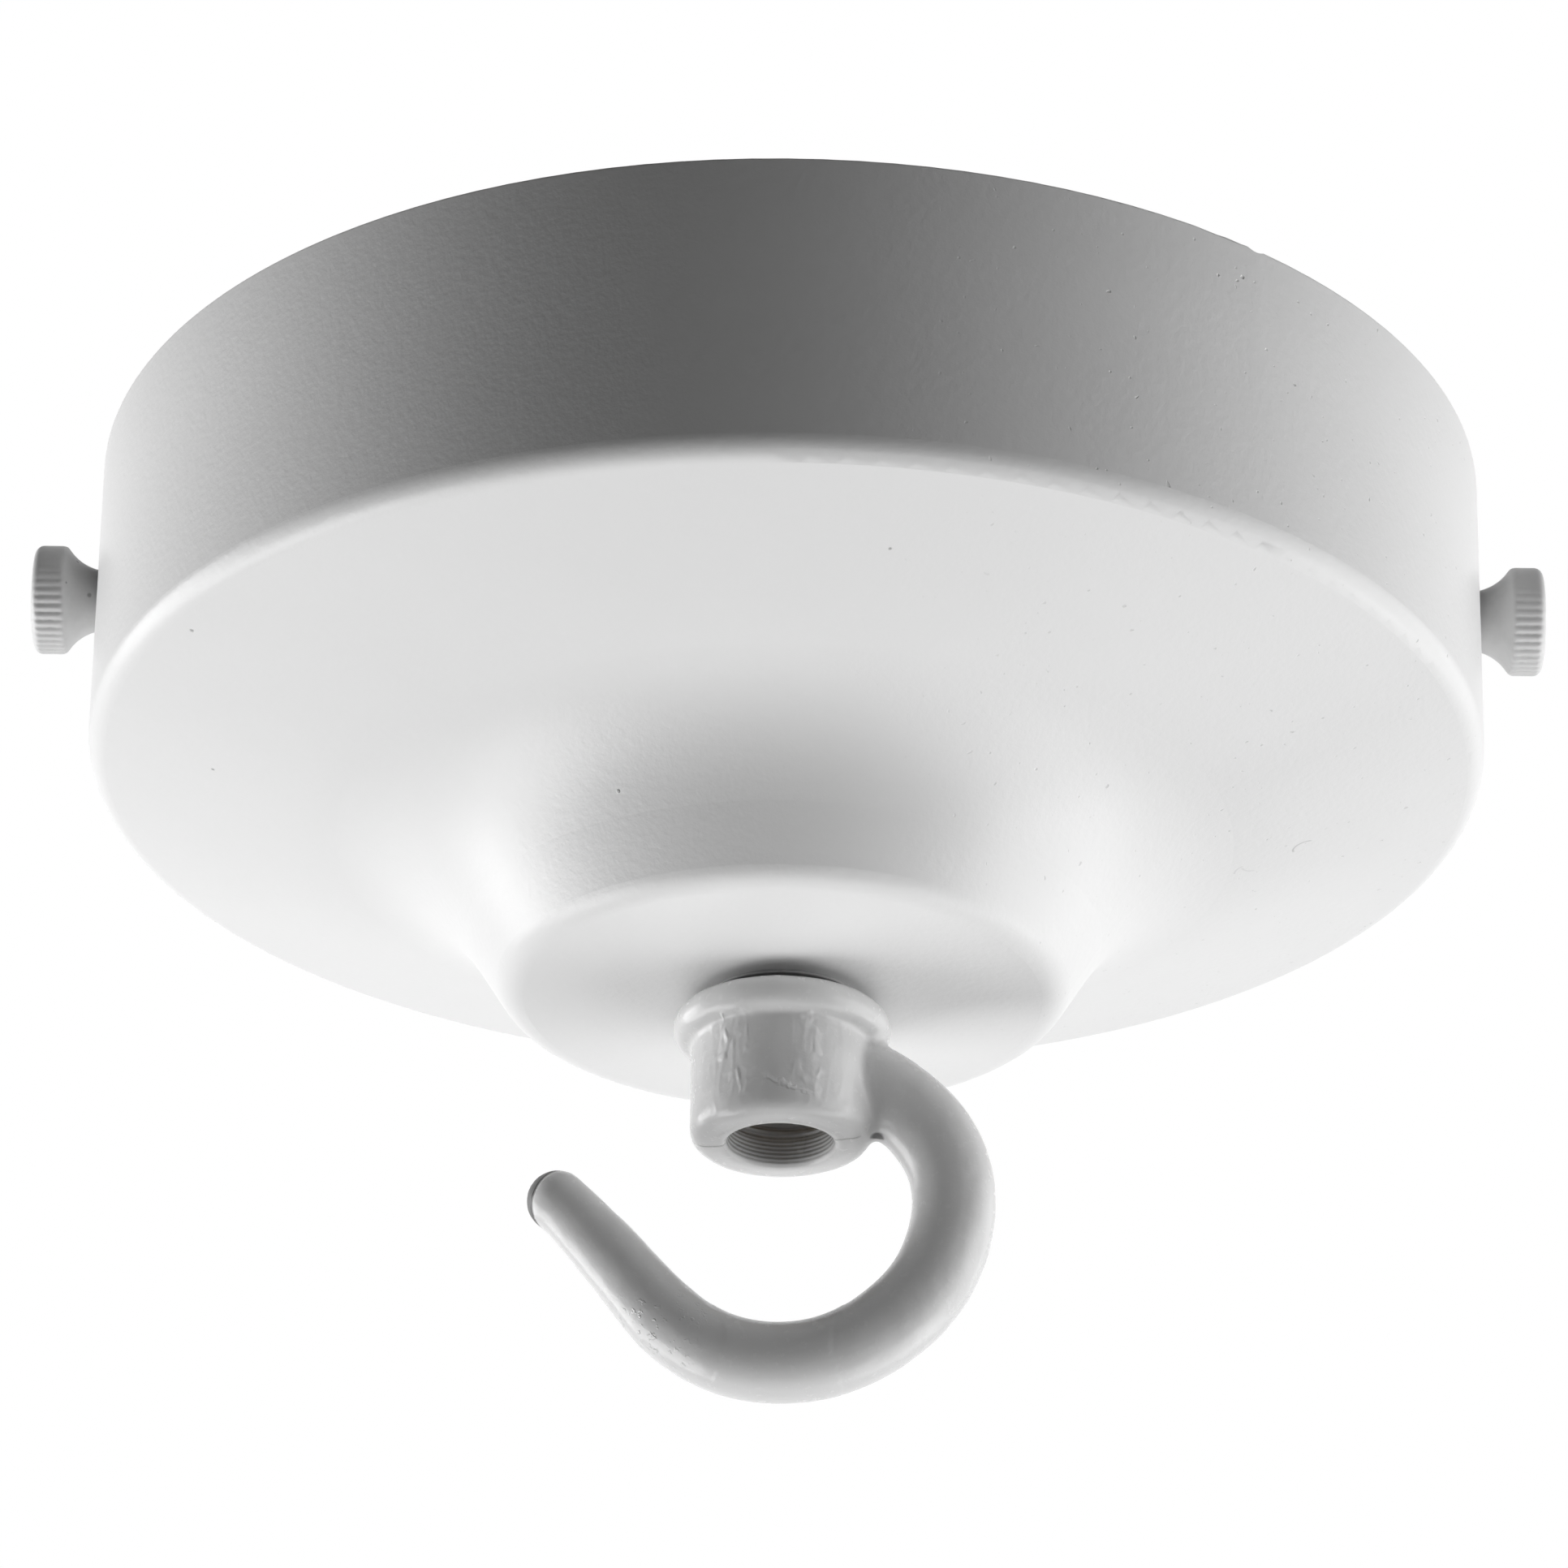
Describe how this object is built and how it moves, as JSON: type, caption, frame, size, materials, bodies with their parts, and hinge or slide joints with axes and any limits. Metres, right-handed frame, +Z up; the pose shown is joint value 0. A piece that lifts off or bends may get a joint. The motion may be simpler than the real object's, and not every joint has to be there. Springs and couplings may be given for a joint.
{
  "type": "ceiling rose",
  "caption": "Round pressed-metal ceiling rose with a conical underside, a cast hook with a through-threaded barrel, knurled side screws, a fixing strap and wiring terminals inside.",
  "frame": {"origin": "middle of the ceiling plane, between the two fixing slots of the strap", "axes": "+Z up into the ceiling, +X along the strap towards the side of the rod's root, hook in the XZ plane"},
  "size_m": [0.1314, 0.12, 0.0839],
  "materials": {
    "white_powder_coat": "satin",
    "white_enamel": "gloss",
    "white_screw_paint": "satin",
    "zinc_strip": "zinc plated",
    "brass_tube": "bare",
    "spring_steel": "blued",
    "zinc_nut": "zinc plated",
    "white_nylon": "matte",
    "natural_polyamide": "matte",
    "terminal_brass": "bare",
    "zinc_screw": "zinc plated"
  },
  "bodies": {
    "rose": {"canopy_cup": "white_powder_coat", "hook": "white_enamel", "strap_bracket": "zinc_strip", "threaded_nipple": "brass_tube", "tooth_washer": "spring_steel", "lock_nut": "zinc_nut", "nipple_bush": "white_nylon", "terminal_body": "natural_polyamide", "terminal_sleeve_live": "terminal_brass", "terminal_sleeve_neutral": "terminal_brass", "terminal_sleeve_earth": "terminal_brass", "terminal_screws": "zinc_screw", "terminal_fixing_screws": "zinc_screw", "earth_washer": "terminal_brass", "earth_screw": "terminal_brass"},
    "left_screw": {"side_screw_left": "white_screw_paint"},
    "right_screw": {"side_screw_right": "white_screw_paint"}
  },
  "joints": [
    {"name": "left_screw_turn", "type": "hinge", "parent": "rose", "child": "left_screw", "pos_m": [-0.06, 0, -0.0102], "axis": [-1, 0, 0], "range_deg": [0, 2880]},
    {"name": "right_screw_turn", "type": "hinge", "parent": "rose", "child": "right_screw", "pos_m": [0.06, 0, -0.0102], "axis": [1, 0, 0], "range_deg": [0, 2880]}
  ]
}
